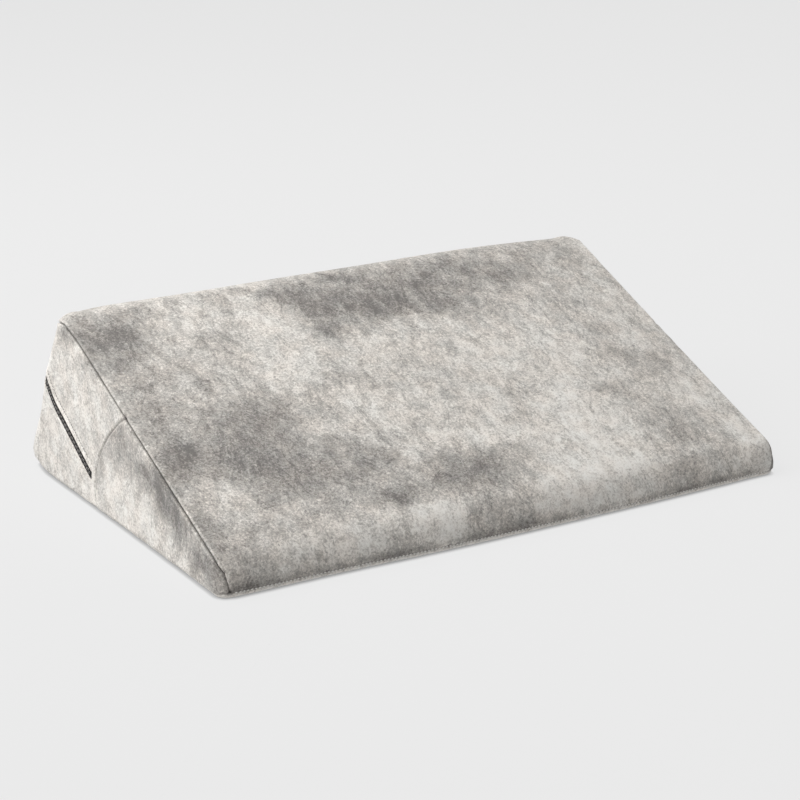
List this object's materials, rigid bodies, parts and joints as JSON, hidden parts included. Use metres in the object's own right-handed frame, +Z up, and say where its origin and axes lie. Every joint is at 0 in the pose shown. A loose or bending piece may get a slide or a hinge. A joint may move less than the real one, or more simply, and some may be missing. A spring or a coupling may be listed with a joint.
{
  "type": "wedge pillow",
  "caption": "Foam wedge pillow in a close-fitting plush cover: low front edge, tall rear, sewn side panels and a zip round the rear band.",
  "frame": {"origin": "middle of the bounding box at floor level, on the base panel", "axes": "+X across the width, +Y from the low front edge to the tall rear, +Z up"},
  "size_m": [0.6106, 0.4399, 0.1772],
  "materials": {
    "plush_cover": "short-pile plush, mottled warm grey",
    "zip_nylon": "black woven tape and nylon coil",
    "zip_slider": "black lacquered metal"
  },
  "bodies": {
    "root": {"wedge_pillow": "plush_cover", "zip_chain": "zip_nylon", "zip_slider": "zip_slider"}
  },
  "joints": []
}
